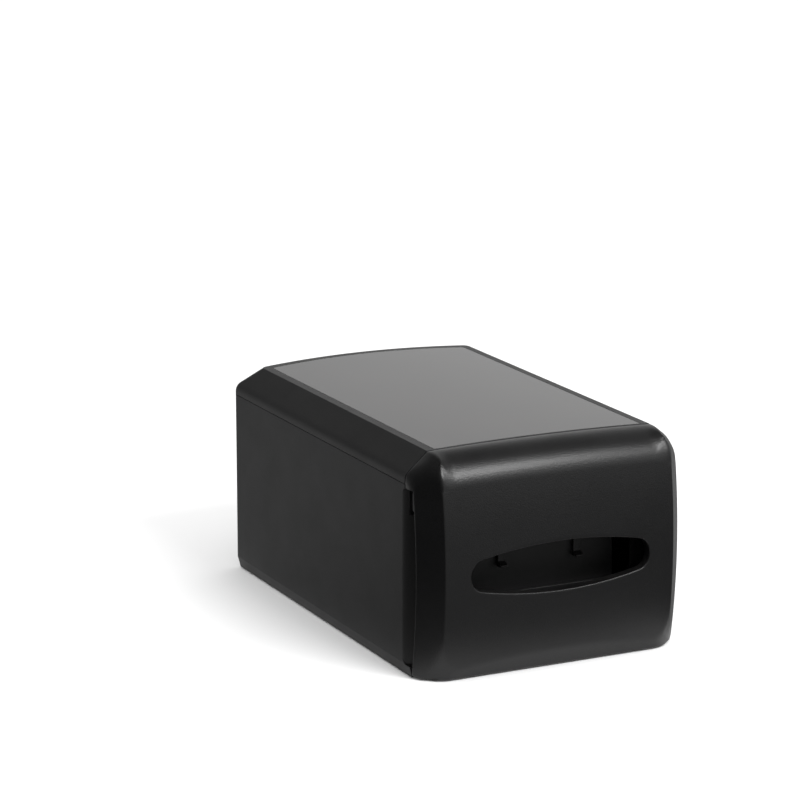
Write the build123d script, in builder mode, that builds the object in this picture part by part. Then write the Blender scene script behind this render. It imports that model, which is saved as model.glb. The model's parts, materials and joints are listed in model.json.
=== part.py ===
from build123d import *
import math
import os

# ---------------------------------------------------------------------------
# Countertop napkin dispenser. Millimetres, +Z up, the front faces -Y.
# The origin is under the middle of the box, on the counter.
# ---------------------------------------------------------------------------

# overall sizes
overall_width = 200.0
overall_depth = 328.0
overall_height = 154.0

# what is dispensed: a stack of folded napkins standing on edge
napkin_width = 165.0
napkin_height = 127.0

# shell and skirt
wall = 3.0
floor_thickness = 3.0
foot_proud = 1.0
skirt_height = 7.5
skirt_inset = 1.5
corner_radius = 5.0
back_bow = 7.8

# cover
cover_height = 22.2
cover_wall = 2.6
seam_gap = 0.4
crown_rise = 1.7
chamfer_run = 16.0
chamfer_rise = 14.3
back_chamfer_run = 14.0
cover_front_setback = 33.0
cover_shoulder_radius = 8.0

# front bezel
front_bow = 2.0
face_fall = 0.3
bevel_run_x = 14.0
bevel_run_y = 17.6
bulge_radius = 394.0
bulge_height = 70.0
bottom_bevel_depth = 5.6
bottom_bevel_height = 11.4
roll_radius = 20.0
lower_corner_radius = 6.0
bottom_edge_radius = 2.0
bezel_wall = 2.8

# dispensing slot
slot_half_length = 67.3
slot_shoulder_x = 61.0
slot_half_height = 16.9
slot_end_half_height = 10.4
slot_height = 72.2
slot_lip_wall = 1.6
slot_lip_depth = 8.0
slot_edge_radius = 0.8

# screw posts inside the bezel
flange_thickness = 2.0
groove_roof_depth = 10.0
post_radius = 4.0
post_drop = 8.0
post_low_z = 20.0
post_top_x = 66.0
post_low_x = 80.0
post_screw_depth = 10.0

# finger groove in each side, behind the bezel
groove_depth = 5.5
groove_wall = 2.5
groove_low = 8.0
groove_high = 129.0
groove_back_setback = 36.6
groove_end_radius = 5.0
groove_seam_width = 1.0
groove_seam_depth = 1.5
tongue_reach = 8.0
tongue_lap = 0.2

# mouth plate and its fingers
mouth_setback = 32.2
mouth_plate_thickness = 2.5
mouth_plate_top = 126.0
mouth_opening_width = 142.0
mouth_opening_low = 48.0
mouth_opening_high = 94.0
mouth_corner_radius = 10.0
mouth_shoulder_height = 104.0
mouth_shoulder_half = 78.0
plate_groove_gap = 0.3
finger_spacing = 57.4
finger_width = 5.3
finger_thickness = 2.0
finger_tip_height = 67.0
finger_toe_reach = 4.2
finger_toe_height = 3.4

# feed rail
rail_half_width = 14.0
rail_lip_half_gap = 7.0
rail_base = 2.0
rail_side = 2.0
rail_height = 9.0
rail_lip = 2.0
napkin_rib_height = 9.5
napkin_rib_width = 2.0

# pusher
pusher_plate_half_width = 58.0
pusher_plate_low = 16.0
pusher_plate_high = 118.0
pusher_plate_thickness = 2.5
pusher_rim_depth = 6.0
pusher_gap = 0.9
carriage_length = 54.0
carriage_half_width = 20.0
carriage_deck = 3.0
slide_gap = 0.5

# spring drum
drum_setback = 33.0
drum_hub_radius = 8.0
coil_radius = 14.0
coil_half_width = 5.0
drum_pin_radius = 2.5
running_gap = 0.05
cheek_thickness = 3.0
cheek_gap = 0.6
strip_thickness = 0.3
strip_clearance = 0.35
carriage_foot = 6.0
foot_clear = 1.0
bumper_length = 3.6
upright_thickness = 3.0
upright_height = 45.0
plate_screw_x = 12.0
plate_screw_z = 34.0
pusher_corner_radius = 6.0
pusher_rim = 2.0

# hinge
knuckle_radius = 3.6
hinge_pin_radius = 1.6
hinge_spacing = 62.0
knuckle_half_length = 7.0
ear_thickness = 3.5
hinge_side_gap = 0.3

# latches
latch_travel = 3.0
latch_button_width = 7.6
latch_button_low = 113.0
latch_button_high = 126.0
latch_button_proud = 1.0
latch_hole_gap = 0.35
latch_flange = 4.2
latch_flange_rim = 2.4
latch_rest_gap = 0.3
striker_thickness = 2.0
striker_gap = 0.4
striker_toe = 2.0
striker_width = 7.4
catch_gap = 0.4
catch_height = 2.2
stalk_thickness = 2.0
catch_reach = 2.0
spring_outer_radius = 3.2
spring_inner_radius = 2.3
spring_seat_reach = 7.7
finger_lap = 9.0

# window
rim_width = 6.2
window_thickness = 2.8
window_gap = 0.4
front_bar = 1.6
retainer_lap = 4.0
retainer_thickness = 1.8
retainer_outer = 4.5
retainer_screw_bite = 2.2
window_corner_radius = 2.0

# fasteners and feet
screw_radius = 1.5
screw_head_radius = 2.9
screw_head_height = 1.9
small_screw_radius = 1.1
small_head_radius = 2.1
small_head_height = 1.3
foot_radius = 8.0
foot_recess = 1.4
foot_inset_x = 22.0
foot_inset_front = 50.0
foot_inset_back = 34.0

# ---------------------------------------------------------------------------
# levels and stations that several pieces share
# ---------------------------------------------------------------------------
half_width = overall_width / 2
front_y = -overall_depth / 2
panel_y = front_y + front_bow - face_fall
hinge_y = overall_depth / 2 - knuckle_radius
back_y = hinge_y - 0.6
back_corner_y = back_y - back_bow
shell_low = foot_proud
floor_top = shell_low + floor_thickness
cover_low = overall_height - cover_height
shell_top = cover_low - seam_gap
hinge_z = cover_low - seam_gap / 2
chamfer_top = overall_height - crown_rise
chamfer_foot = chamfer_top - chamfer_rise
bulge_axis_y = panel_y + bulge_radius
bezel_back_radius = bulge_radius - bevel_run_y
bezel_back_y = front_y + cover_front_setback
cover_front_y = bezel_back_y + seam_gap
groove_back_y = front_y + groove_back_setback
groove_floor_x = half_width - groove_depth
tongue_in_x = groove_floor_x - groove_wall
low_front_y = bulge_axis_y - math.sqrt(bezel_back_radius**2 - (bulge_height - shell_low) ** 2) + seam_gap
tongue_front_y = low_front_y - tongue_reach
mouth_front_y = front_y + mouth_setback
mouth_back_y = mouth_front_y + mouth_plate_thickness
rail_low = floor_top
rail_top = rail_low + rail_height
rail_floor = rail_low + rail_base
rail_inner = rail_half_width - rail_side
rail_front_y = mouth_back_y + 0.6
rail_back_y = back_y - wall - 3.0
pusher_y = mouth_back_y + pusher_gap
carriage_front_y = pusher_y + pusher_plate_thickness
deck_low = rail_top + slide_gap
deck_high = deck_low + carriage_deck
drum_y = pusher_y + drum_setback
drum_z = rail_floor + strip_clearance + strip_thickness + coil_radius
cheek_in_x = coil_half_width + cheek_gap
anchor_y = rail_front_y + 5
rail_screw_stations = [drum_y + 30, (drum_y + rail_back_y) / 2 + 10, rail_back_y - 12]
latch_y = (groove_back_y + low_front_y) / 2 - 1.6
striker_front_y = cover_front_y + front_bar + 0.4
latch_z = (latch_button_low + latch_button_high) / 2
spring_y = mouth_front_y - spring_seat_reach / 2
spring_z = latch_z
striker_low = groove_high - 0.8
retainer_screw_x = half_width - chamfer_run - rim_width + retainer_outer / 2
retainer_stations = [-90.0, 0.0, 90.0]


def rounded_back(side, front, corner, middle, corner_r):
    """Plan outline with straight sides, a bowed back and rounded back corners."""
    with BuildSketch() as outline:
        with BuildLine():
            Polyline((-side, corner), (-side, front), (side, front), (side, corner))
            ThreePointArc((side, corner), (0, middle), (-side, corner))
        make_face()
        fillet([v for v in outline.vertices() if abs(v.Y - corner) < 0.01], radius=corner_r)
    return outline.sketch


def shell_outline(inset, front, corner_r):
    """Plan of the shell's outside, or with an inset of its inside."""
    return rounded_back(half_width - inset, front, back_corner_y - inset, back_y - inset, corner_r)


def top_outline(extra, front, corner_r):
    """Plan of the flat top inside the chamfers."""
    back = back_chamfer_run + extra
    return rounded_back(half_width - chamfer_run - extra, front, back_corner_y - back, back_y - back, corner_r)


def turned_ring(radius_out, radius_in, in_x, out_x, low, high):
    """Bands swung about the bulge axis on both sides, kept between two levels."""
    reach = 14
    start = Plane((0, bulge_axis_y, bulge_height), x_dir=(1, 0, 0),
                  z_dir=(0, math.sin(math.radians(reach)), math.cos(math.radians(reach))))
    with BuildPart() as ring:
        with BuildSketch(start):
            for side in (-1, 1):
                with Locations((side * (in_x + out_x) / 2, -(radius_out + radius_in) / 2)):
                    Rectangle(out_x - in_x, radius_out - radius_in)
        revolve(axis=Axis((0, bulge_axis_y, bulge_height), (1, 0, 0)), revolution_arc=2 * reach)
        with Locations((0, bezel_back_y, low)):
            Box(2 * out_x + 10, 200, high - low, align=(Align.CENTER, Align.CENTER, Align.MIN), mode=Mode.INTERSECT)
    return ring.part


# ---------------------------------------------------------------------------
# body shell: floor, walls, finger grooves, napkin guides, hinge ears
# ---------------------------------------------------------------------------
guide_x = napkin_width / 2 + 1.5
ear_in = hinge_spacing - knuckle_half_length - hinge_side_gap - ear_thickness
ear_out = hinge_spacing + knuckle_half_length + hinge_side_gap

with BuildPart() as body_shell:
    # skirt that draws in under the walls, then the walls themselves
    with BuildSketch(Plane.XY.offset(shell_low)):
        add(shell_outline(skirt_inset, low_front_y, corner_radius))
    with BuildSketch(Plane.XY.offset(shell_low + skirt_height)):
        add(shell_outline(0, low_front_y, corner_radius))
    loft(ruled=True)
    with BuildSketch(Plane.XY.offset(shell_low + skirt_height)):
        add(shell_outline(0, low_front_y, corner_radius))
    extrude(amount=shell_top - shell_low - skirt_height)
    # napkin chamber
    with BuildSketch(Plane.XY.offset(floor_top)):
        add(shell_outline(wall, groove_back_y + groove_wall, corner_radius - wall / 2))
    extrude(amount=overall_height, mode=Mode.SUBTRACT)
    with Locations((0, low_front_y, floor_top)):
        Box(2 * tongue_in_x, 2 * (groove_back_y + 20 - low_front_y), overall_height,
            align=(Align.CENTER, Align.CENTER, Align.MIN), mode=Mode.SUBTRACT)
    # finger grooves and the step above them that carries the bezel
    for side in (-1, 1):
        with BuildSketch(Plane.YZ.offset(side * half_width)) as groove:
            with BuildLine():
                Polyline((low_front_y - 1, groove_low), (groove_back_y, groove_low),
                         (groove_back_y, groove_high), (low_front_y - 1, groove_high), close=True)
            make_face()
            fillet(groove.vertices().group_by(Axis.X)[-1], radius=groove_end_radius)
        extrude(amount=-side * groove_depth, mode=Mode.SUBTRACT)
        with Locations((side * (tongue_in_x + half_width) / 2, low_front_y - 1, groove_high)):
            Box(half_width - tongue_in_x + 2, 2 * (cover_front_y - low_front_y + 1), overall_height,
                align=(Align.CENTER, Align.CENTER, Align.MIN), mode=Mode.SUBTRACT)
        # tongue that reaches into the bezel
        with Locations((side * (groove_floor_x - groove_wall / 2), (tongue_front_y + low_front_y + 1) / 2, floor_top)):
            Box(groove_wall, low_front_y + 1 - tongue_front_y, groove_high - 1 - floor_top,
                align=(Align.CENTER, Align.CENTER, Align.MIN))
        add(turned_ring(bezel_back_radius + 4 * tongue_reach, bezel_back_radius + tongue_lap, tongue_in_x - 1,
                        groove_floor_x + 1, floor_top - 1, groove_high), mode=Mode.SUBTRACT)
        # ribs that hold the mouth plate
        for station in (mouth_front_y - plate_groove_gap - wall / 2, mouth_back_y + plate_groove_gap + wall / 2):
            with Locations((side * (tongue_in_x - wall / 2 + 0.5), station, floor_top)):
                Box(wall + 1, wall, mouth_shoulder_height - 2 - floor_top,
                    align=(Align.CENTER, Align.CENTER, Align.MIN))
        # window for the latch button
        with Locations((side * (groove_floor_x - groove_wall / 2), latch_y, latch_z)):
            Box(groove_wall * 2, latch_button_width + 2 * latch_hole_gap,
                latch_button_high - latch_button_low + 2 * latch_hole_gap, mode=Mode.SUBTRACT)
        # upright guides beside the stack, and runners under it
        guide_depth = half_width - wall - guide_x + 0.5
        for k in range(4):
            station = groove_back_y + 42 + k * 64
            with Locations((side * (guide_x + guide_depth / 2), station, floor_top)):
                Box(guide_depth, napkin_rib_width, napkin_height - 8, align=(Align.CENTER, Align.CENTER, Align.MIN))
        for offset_x in (34.0, 68.0):
            with Locations((side * offset_x, (mouth_back_y + back_corner_y - wall) / 2, floor_top)):
                Box(napkin_rib_width, back_corner_y - wall - mouth_back_y - 4, napkin_rib_height,
                    align=(Align.CENTER, Align.CENTER, Align.MIN))
        # dark seam in the corner between the groove's floor and the side wall
        with Locations((side * groove_floor_x, groove_back_y, (groove_low + groove_high) / 2)):
            Box(2 * groove_seam_depth, 2 * groove_seam_width, groove_high - groove_low - 2 * groove_end_radius,
                mode=Mode.SUBTRACT)
        # room for the cover's knuckle, then the hinge ears on the back wall
        with Locations((side * hinge_spacing, hinge_y - knuckle_radius - 0.5, hinge_z - knuckle_radius - 0.5)):
            Box(2 * (knuckle_half_length + hinge_side_gap), 20, 20,
                align=(Align.CENTER, Align.MIN, Align.MIN), mode=Mode.SUBTRACT)
        for low_x in (ear_in, ear_out):
            with BuildSketch(Plane.YZ.offset(side * low_x)):
                with BuildLine():
                    Polyline((back_corner_y - wall, shell_top - 14), (back_y - 0.4, shell_top - 14),
                             (hinge_y + knuckle_radius * 0.75, hinge_z - knuckle_radius * 0.65),
                             (hinge_y, hinge_z), (back_corner_y - wall, shell_top - 4), close=True)
                make_face()
                with Locations((hinge_y, hinge_z)):
                    Circle(knuckle_radius)
            extrude(amount=side * ear_thickness)
        with BuildSketch(Plane.YZ.offset(side * (ear_in - 1))):
            with Locations((hinge_y, hinge_z)):
                Circle(hinge_pin_radius)
        extrude(amount=side * (ear_out + ear_thickness + 2 - ear_in), mode=Mode.SUBTRACT)
    # blind holes for the rail screws and the strip anchor
    for station in rail_screw_stations + [anchor_y]:
        with BuildSketch(Plane.XY.offset(shell_low + 1)):
            with Locations((0, station)):
                Circle(screw_radius)
        extrude(amount=floor_thickness, mode=Mode.SUBTRACT)
    # pockets for the feet
    for fx in (-1, 1):
        for fy in (front_y + foot_inset_front, back_corner_y - foot_inset_back):
            with BuildSketch(Plane.XY.offset(shell_low)):
                with Locations((fx * (half_width - foot_inset_x), fy)):
                    Circle(foot_radius)
            extrude(amount=foot_recess, mode=Mode.SUBTRACT)

# ---------------------------------------------------------------------------
# rubber feet
# ---------------------------------------------------------------------------
with BuildPart() as rubber_feet:
    for fx in (-1, 1):
        for fy in (front_y + foot_inset_front, back_corner_y - foot_inset_back):
            with BuildSketch(Plane.XY):
                with Locations((fx * (half_width - foot_inset_x), fy)):
                    Circle(foot_radius)
            extrude(amount=foot_proud + foot_recess)


# ---------------------------------------------------------------------------
# front bezel: bulged face, side bevels, rolled top, dispensing slot
# ---------------------------------------------------------------------------
def turned_about_bulge(radius_out, radius_in, half, bow):
    """Closed section swung about the far axis that gives the face its bulge."""
    reach = 14
    start = Plane((0, bulge_axis_y, bulge_height), x_dir=(1, 0, 0),
                  z_dir=(0, math.sin(math.radians(reach)), math.cos(math.radians(reach))))
    with BuildPart() as swung:
        with BuildSketch(start):
            with BuildLine():
                shoulder = half - bevel_run_x
                Polyline((-shoulder, -radius_out), (-half, -radius_out + bevel_run_y), (-half, -radius_in),
                         (half, -radius_in), (half, -radius_out + bevel_run_y), (shoulder, -radius_out))
                ThreePointArc((shoulder, -radius_out), (0, -radius_out - bow), (-shoulder, -radius_out))
            make_face()
        revolve(axis=Axis((0, bulge_axis_y, bulge_height), (1, 0, 0)), revolution_arc=2 * reach)
    return swung.part


def bezel_prism(inset, back, roll_cut, shoulder_cut):
    """Bulged block of the bezel before its edges are rolled, or with an inset its hollow."""
    half = half_width - inset
    top = chamfer_top - inset
    side_foot = chamfer_foot - shoulder_cut
    low = shell_low + inset
    face_y = panel_y + inset
    corner_r = lower_corner_radius - inset
    with BuildPart() as form:
        add(turned_about_bulge(bulge_radius - inset, bulge_radius - 70, half, front_bow))
        with BuildSketch(Plane.YZ.offset(-half - 1)):
            with BuildLine():
                Polyline((back, low), (face_y + bottom_bevel_depth + 2, low),
                         (face_y + 2.6, low + bottom_bevel_height),
                         (front_y - 4, low + bottom_bevel_height + 14),
                         (front_y - 4, top + crown_rise - roll_cut), (face_y, top + crown_rise - roll_cut),
                         (face_y + roll_cut + 1, top + crown_rise + 1), (back, top + crown_rise + 1), close=True)
            make_face()
        extrude(amount=2 * half + 2, mode=Mode.INTERSECT)
        with BuildSketch(Plane.XZ.offset(-back)):
            with BuildLine():
                crown = top - shoulder_cut / 2
                Polyline((chamfer_run - half, crown), (-half, side_foot), (-half, low + corner_r))
                RadiusArc((-half, low + corner_r), (corner_r - half, low), -corner_r)
                Line((corner_r - half, low), (half - corner_r, low))
                RadiusArc((half - corner_r, low), (half, low + corner_r), -corner_r)
                Polyline((half, low + corner_r), (half, side_foot), (half - chamfer_run, crown))
                ThreePointArc((half - chamfer_run, crown), (0, crown + crown_rise), (chamfer_run - half, crown))
            make_face()
        extrude(amount=back - front_y + 10, mode=Mode.INTERSECT)
    return form.part


def slot_outline(margin):
    """Outline of the dispensing slot seen from the front, with a margin round it."""
    end_z = slot_end_half_height + margin
    with BuildSketch() as outline:
        with BuildLine():
            ThreePointArc((-slot_shoulder_x, end_z), (0, slot_half_height + margin), (slot_shoulder_x, end_z))
            ThreePointArc((slot_shoulder_x, end_z), (slot_half_length + margin, 0), (slot_shoulder_x, -end_z))
            ThreePointArc((slot_shoulder_x, -end_z), (0, -slot_half_height - margin), (-slot_shoulder_x, -end_z))
            ThreePointArc((-slot_shoulder_x, -end_z), (-slot_half_length - margin, 0), (-slot_shoulder_x, end_z))
        make_face()
    return outline.sketch


def slot_block(margin, back):
    """Solid plug of the slot's outline from in front of the face to a station behind it."""
    with BuildPart() as plug:
        with BuildSketch(Plane.XZ.offset(-back)):
            with Locations((0, slot_height)):
                add(slot_outline(margin))
        extrude(amount=back - front_y + 5)
        if margin > 0:
            add(bezel_prism(0.6, back + 5, 0, 0), mode=Mode.INTERSECT)
    return plug.part


def screw_posts():
    """Four posts from the inside of the face back to the mouth plate."""
    with BuildPart() as posts:
        for px, pz in post_places:
            with BuildSketch(Plane.XZ.offset(-mouth_front_y)):
                with Locations((px, pz)):
                    Circle(post_radius)
            extrude(amount=mouth_front_y - front_y + 5)
        add(bezel_prism(0.6, mouth_front_y + 5, roll_radius - bezel_wall, 0), mode=Mode.INTERSECT)
    return posts.part


post_top_z = mouth_plate_top - post_drop
post_places = [(-post_top_x, post_top_z), (post_top_x, post_top_z), (-post_low_x, post_low_z), (post_low_x, post_low_z)]

with BuildPart() as front_bezel:
    add(bezel_prism(0, bezel_back_y, 0, 0))
    # rolled top edge, running down the front of both shoulders
    rolled = [e for e in front_bezel.edges() if e.center().Z > chamfer_foot
              and e.center().Y < front_y + 12 + abs(e.center().X) / 14]
    fillet(rolled, radius=roll_radius)
    foot_line = [e for e in front_bezel.edges() if abs(e.center().X) < half_width - bevel_run_x - 1
                 and 8 < e.center().Z < 14]
    fillet(foot_line, radius=bottom_edge_radius)
    # hollow inside, open at the back
    add(bezel_prism(bezel_wall, bezel_back_y + 5, roll_radius - bezel_wall, 3 * bezel_wall), mode=Mode.SUBTRACT)
    # the side and bottom edges end on the turned line at the front of the grooves
    add(turned_ring(bezel_back_radius, bezel_back_radius - 60, 0, half_width + 5, -5, groove_high),
        mode=Mode.SUBTRACT)
    # return flange beside each tongue, and the roof of each groove
    add(turned_ring(bezel_back_radius + flange_thickness, bezel_back_radius, groove_floor_x + seam_gap,
                    half_width - bezel_wall / 2, shell_low + bezel_wall / 2, groove_high))
    for side in (-1, 1):
        with Locations((side * (tongue_in_x + seam_gap + half_width - bezel_wall / 2) / 2, bezel_back_y, groove_high)):
            Box(half_width - bezel_wall / 2 - tongue_in_x - seam_gap, groove_roof_depth, flange_thickness,
                align=(Align.CENTER, Align.MAX, Align.MIN))
    # slot with its inward lip
    add(slot_block(slot_lip_wall, front_y + slot_lip_depth), mode=Mode.ADD)
    add(slot_block(0, front_y + slot_lip_depth + 5), mode=Mode.SUBTRACT)
    slot_rim = [e for e in front_bezel.edges() if e.center().Y < front_y + 2
                and abs(e.center().Z - slot_height) < slot_half_height + 1
                and abs(e.center().X) < slot_half_length + 1]
    fillet(slot_rim, radius=slot_edge_radius)
    # posts that take the screws
    add(screw_posts())
    for px, pz in post_places:
        with BuildSketch(Plane.XZ.offset(-mouth_front_y)):
            with Locations((px, pz)):
                Circle(screw_radius)
        extrude(amount=post_screw_depth, mode=Mode.SUBTRACT)


def flat_screw(radius, head_radius, head_height, length):
    """Countersunk screw, its flat head at the origin and its shank along -Z."""
    with BuildPart() as screw:
        with BuildSketch(Plane.XZ):
            with BuildLine():
                Polyline((0, 0), (head_radius, 0), (radius, -head_height), (radius, -length), (0, -length), close=True)
            make_face()
        revolve(axis=Axis.Z)
        with BuildSketch(Plane.XY):
            Rectangle(head_radius * 1.1, head_radius * 0.28)
            Rectangle(head_radius * 0.28, head_radius * 1.1)
        extrude(amount=-head_height * 0.45, mode=Mode.SUBTRACT)
    return screw.part


def pan_screw(radius, head_radius, head_height, length):
    """Pan-head screw, the underside of its head at the origin and its shank along -Z."""
    with BuildPart() as screw:
        with BuildSketch(Plane.XY):
            Circle(head_radius)
        extrude(amount=head_height)
        fillet(screw.edges().group_by(Axis.Z)[-1], radius=head_height * 0.45)
        with BuildSketch(Plane.XY):
            Circle(radius)
        extrude(amount=-length)
        with BuildSketch(Plane.XY.offset(head_height)):
            Rectangle(head_radius * 1.1, head_radius * 0.28)
            Rectangle(head_radius * 0.28, head_radius * 1.1)
        extrude(amount=-head_height * 0.5, mode=Mode.SUBTRACT)
    return screw.part


# ---------------------------------------------------------------------------
# mouth plate: the stack leans on it and napkins leave through its opening
# ---------------------------------------------------------------------------
with BuildPart() as mouth_plate:
    with BuildSketch(Plane.XZ.offset(-mouth_back_y)):
        low = floor_top + plate_groove_gap
        edge = tongue_in_x - plate_groove_gap
        with BuildLine():
            Polyline((-edge, low), (edge, low), (edge, mouth_shoulder_height),
                     (mouth_shoulder_half, mouth_shoulder_height), (mouth_shoulder_half, mouth_plate_top),
                     (-mouth_shoulder_half, mouth_plate_top), (-mouth_shoulder_half, mouth_shoulder_height),
                     (-edge, mouth_shoulder_height), close=True)
        make_face()
        with Locations((0, (mouth_opening_low + mouth_opening_high) / 2)):
            RectangleRounded(mouth_opening_width, mouth_opening_high - mouth_opening_low, mouth_corner_radius,
                             mode=Mode.SUBTRACT)
    extrude(amount=mouth_plate_thickness)
    # seats for the latch springs
    for side in (-1, 1):
        with Locations((side * mouth_shoulder_half, mouth_front_y + 0.5, spring_z)):
            Box(mouth_plate_thickness, spring_seat_reach + 0.5, 2 * spring_outer_radius + 6,
                align=(Align.MAX if side > 0 else Align.MIN, Align.MAX, Align.CENTER))
    for px, pz in post_places:
        with Locations(Plane((px, mouth_back_y, pz), x_dir=(1, 0, 0), z_dir=(0, 1, 0))):
            CounterSinkHole(screw_radius, screw_head_radius, depth=2 * mouth_plate_thickness,
                            counter_sink_angle=90)

with BuildPart() as bezel_screws:
    for px, pz in post_places:
        with Locations(Plane((px, mouth_back_y, pz), x_dir=(1, 0, 0), z_dir=(0, 1, 0))):
            add(flat_screw(screw_radius, screw_head_radius, screw_head_radius - screw_radius,
                           mouth_plate_thickness + post_screw_depth - 1))

finger_back_y = mouth_back_y - 0.5
with BuildPart() as retaining_fingers:
    for side in (-1, 1):
        tip = finger_tip_height
        toe_y = mouth_front_y - finger_toe_reach
        lap_y = mouth_front_y - finger_thickness
        with BuildSketch(Plane.YZ.offset(side * finger_spacing / 2 - finger_width / 2)):
            with BuildLine():
                Polyline((finger_back_y, tip), (toe_y, tip), (toe_y, tip + finger_toe_height / 3),
                         (mouth_front_y, tip + finger_toe_height), (mouth_front_y, mouth_opening_high - 2),
                         (lap_y, mouth_opening_high - 2), (lap_y, mouth_opening_high + finger_lap),
                         (mouth_front_y, mouth_opening_high + finger_lap), (mouth_front_y, mouth_opening_high),
                         (finger_back_y, mouth_opening_high), close=True)
            make_face()
        extrude(amount=finger_width)

# ---------------------------------------------------------------------------
# feed rail with its screws, spring strip, anchor and bumper
# ---------------------------------------------------------------------------
with BuildPart() as feed_rail:
    with BuildSketch(Plane.XZ.offset(-rail_back_y)):
        with BuildLine():
            Polyline((-rail_half_width, rail_low), (rail_half_width, rail_low), (rail_half_width, rail_top),
                     (rail_lip_half_gap, rail_top), (rail_lip_half_gap, rail_top - rail_lip),
                     (rail_inner, rail_top - rail_lip), (rail_inner, rail_floor), (-rail_inner, rail_floor),
                     (-rail_inner, rail_top - rail_lip), (-rail_lip_half_gap, rail_top - rail_lip),
                     (-rail_lip_half_gap, rail_top), (-rail_half_width, rail_top), close=True)
        make_face()
    extrude(amount=rail_back_y - rail_front_y)
    with Locations((0, rail_back_y, rail_low)):
        Box(2 * rail_half_width, rail_side, rail_height, align=(Align.CENTER, Align.MIN, Align.MIN))
    for station in rail_screw_stations:
        with Locations((0, station, rail_floor)):
            CounterSinkHole(screw_radius, screw_head_radius, depth=2 * rail_base, counter_sink_angle=90)
    with BuildSketch(Plane.XY.offset(rail_low)):
        with Locations((0, anchor_y)):
            Circle(screw_radius)
    extrude(amount=rail_base, mode=Mode.SUBTRACT)

with BuildPart() as rail_screws:
    for station in rail_screw_stations:
        with Locations((0, station, rail_floor)):
            add(flat_screw(screw_radius, screw_head_radius, screw_head_radius - screw_radius,
                           rail_base + floor_thickness - 1.3))

with BuildPart() as spring_strip:
    with BuildSketch(Plane.XY.offset(rail_floor)):
        with Locations((0, (rail_front_y + 1 + drum_y) / 2)):
            Rectangle(2 * coil_half_width - 0.8, drum_y - rail_front_y - 1)
        with Locations((0, anchor_y)):
            Circle(screw_radius, mode=Mode.SUBTRACT)
    extrude(amount=strip_thickness)

with BuildPart() as strip_anchor_screw:
    with Locations((0, anchor_y, rail_floor + strip_thickness)):
        add(pan_screw(screw_radius, screw_head_radius, screw_head_height,
                      strip_thickness + rail_base + floor_thickness - 1.3))

bumper_back_y = drum_y - coil_radius - carriage_foot - foot_clear - slide_gap / 2
with BuildPart() as rail_bumper:
    with Locations((0, bumper_back_y, rail_floor + strip_thickness + 0.2)):
        Box(2 * rail_inner, bumper_length, rail_height - rail_base - rail_lip - strip_thickness - 0.4,
            align=(Align.CENTER, Align.MAX, Align.MIN))
    fillet(rail_bumper.edges().filter_by(Axis.X).group_by(Axis.Y)[-1], radius=1.0)

# ---------------------------------------------------------------------------
# pusher: carriage on the rail, plate in front of it, spring drum between its cheeks
# ---------------------------------------------------------------------------
carriage_back_y = carriage_front_y + carriage_length
pin_end = cheek_in_x + cheek_thickness
with BuildPart() as pusher_carriage:
    # feet captured under the rail's lips, with their necks
    for low_y, high_y in ((drum_y - coil_radius - foot_clear - carriage_foot, drum_y - coil_radius - foot_clear),
                          (drum_y + coil_radius + foot_clear, carriage_back_y - 1)):
        middle = (low_y + high_y) / 2
        with Locations((0, middle, rail_floor + strip_thickness + slide_gap)):
            Box(2 * (rail_inner - slide_gap), high_y - low_y,
                rail_height - rail_base - rail_lip - strip_thickness - 2 * slide_gap,
                align=(Align.CENTER, Align.CENTER, Align.MIN))
        with Locations((0, middle, rail_floor + strip_thickness + slide_gap)):
            Box(2 * (rail_lip_half_gap - slide_gap), high_y - low_y, deck_low - rail_floor - strip_thickness,
                align=(Align.CENTER, Align.CENTER, Align.MIN))
    with Locations((0, carriage_front_y, deck_low)):
        Box(2 * carriage_half_width, carriage_length, carriage_deck, align=(Align.CENTER, Align.MIN, Align.MIN))
        Box(2 * carriage_half_width, upright_thickness, upright_height, align=(Align.CENTER, Align.MIN, Align.MIN))
    with Locations((0, drum_y, deck_low)):
        Box(2 * cheek_in_x, 2 * (coil_radius + foot_clear), 40, mode=Mode.SUBTRACT)
    for side in (-1, 1):
        # gusset and cheek
        with BuildSketch(Plane.YZ.offset(side * (carriage_half_width - upright_thickness))):
            with BuildLine():
                Polyline((carriage_front_y + 1, deck_high - 1), (carriage_front_y + 1, deck_low + upright_height - 6),
                         (carriage_front_y + upright_thickness, deck_low + upright_height - 6),
                         (drum_y - 8, deck_high - 1), close=True)
            make_face()
        extrude(amount=side * upright_thickness)
        with BuildSketch(Plane.YZ.offset(side * cheek_in_x)):
            with BuildLine():
                Polyline((drum_y - 12, deck_high - 1), (drum_y + 12, deck_high - 1), (drum_y + 5, drum_z + 2),
                         (drum_y - 5, drum_z + 2), close=True)
            make_face()
            with Locations((drum_y, drum_z)):
                Circle(drum_pin_radius + 3.5)
        extrude(amount=side * cheek_thickness)
    with BuildSketch(Plane.YZ.offset(-pin_end)):
        with Locations((drum_y, drum_z)):
            Circle(drum_pin_radius)
    extrude(amount=2 * pin_end, mode=Mode.SUBTRACT)
    for px in (-plate_screw_x, plate_screw_x):
        with BuildSketch(Plane.XZ.offset(-carriage_front_y - upright_thickness)):
            with Locations((px, plate_screw_z)):
                Circle(screw_radius)
        extrude(amount=upright_thickness, mode=Mode.SUBTRACT)

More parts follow.
